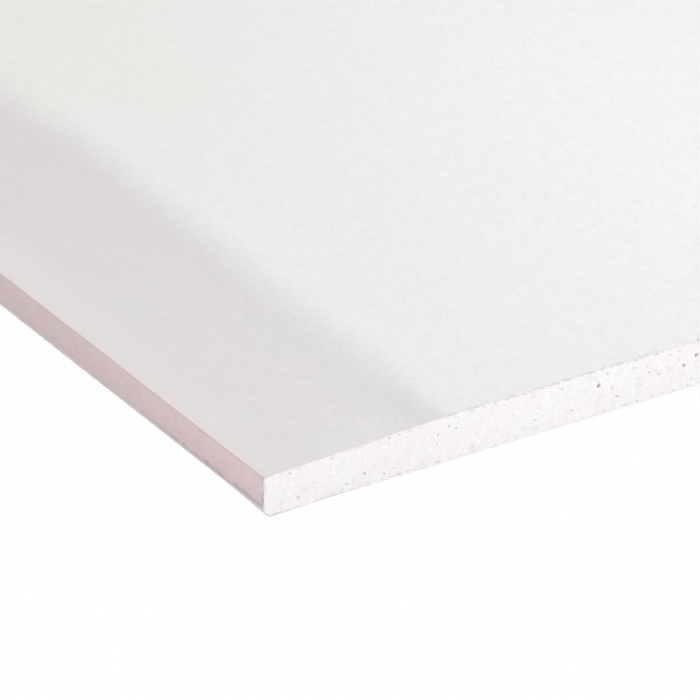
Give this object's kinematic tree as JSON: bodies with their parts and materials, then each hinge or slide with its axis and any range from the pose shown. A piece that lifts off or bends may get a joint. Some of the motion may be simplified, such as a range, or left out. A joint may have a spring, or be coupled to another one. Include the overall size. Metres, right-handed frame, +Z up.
{
  "type": "drywall sheet",
  "caption": "Flat gypsum board sheet with both long edges tapered on the face, wrapped in paper that folds round the long edges and laps under the back, with cut ends bare.",
  "frame": {"origin": "middle of the back paper's underside, with the sheet lying on its back", "axes": "+X along the length, +Y across the width towards a long edge, +Z up through the thickness, out of the face"},
  "size_m": [2.4, 1.2, 0.0125],
  "materials": {
    "gypsum": "matte, bare cut gypsum with small air pores",
    "face_paper": "matte, smooth off-white liner with a faint fibre mottle",
    "back_paper": "matte, rough grey-buff recycled liner"
  },
  "bodies": {
    "root": {"gypsum_core": "gypsum", "face_paper": "face_paper", "back_paper": "back_paper"}
  },
  "joints": []
}
